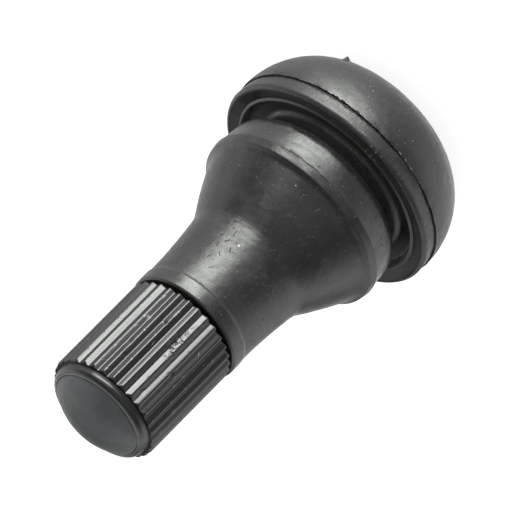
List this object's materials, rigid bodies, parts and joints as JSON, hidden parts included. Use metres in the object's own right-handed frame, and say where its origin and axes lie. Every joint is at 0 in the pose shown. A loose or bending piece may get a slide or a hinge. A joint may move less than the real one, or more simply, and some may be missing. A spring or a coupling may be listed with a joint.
{
  "type": "snap-in tyre valve",
  "caption": "Rubber snap-in tyre valve with a domed head, rim groove and flared neck on a brass stem, with a spring valve core and a ribbed screw cap.",
  "frame": {"origin": "centre of the flat ring under the domed head, which the valve stands on", "axes": "+Z along the stem from the head towards the cap; the key flats of the core face +Y and -Y"},
  "size_m": [0.0188, 0.0188, 0.0351],
  "materials": {
    "body_rubber": "satin moulded rubber with dust and light scuffs",
    "stem_brass": "turned",
    "core_brass": "turned",
    "gasket_rubber": "matt",
    "pin_steel": "drawn wire",
    "spring_steel": "drawn wire",
    "seal_rubber": "matt",
    "cap_plastic": "black plastic, satin on the end and glossy on the ribs"
  },
  "bodies": {
    "stem": {"rubber_body": "body_rubber", "valve_stem": "stem_brass", "core_plug": "core_brass", "core_barrel": "core_brass", "barrel_gasket": "gasket_rubber", "core_spring": "spring_steel"},
    "pin": {"core_pin": "pin_steel", "pin_cup": "core_brass", "cup_seal": "seal_rubber"},
    "washer": {"cap_seal": "seal_rubber"},
    "screw_cap": {"cap": "cap_plastic"}
  },
  "joints": [
    {"name": "pin_press", "type": "slide", "parent": "stem", "child": "pin", "axis": [0, 0, -1], "range_m": [0, 0.0012], "stiffness_N_per_m": 1500, "springref_m": -0.00002, "deforming": ["core_spring"]},
    {"name": "cap_lift", "type": "slide", "parent": "stem", "child": "washer", "axis": [0, 0, 1], "range_m": [0, 0.00794]},
    {"name": "cap_turn", "type": "hinge", "parent": "washer", "child": "screw_cap", "pos_m": [0, 0, 0.028], "axis": [0, 0, 1], "range_deg": [0, 3600]}
  ],
  "couplings": [
    {"joint": "cap_turn", "follows": "cap_lift", "rad_per_m": 7915.8}
  ]
}
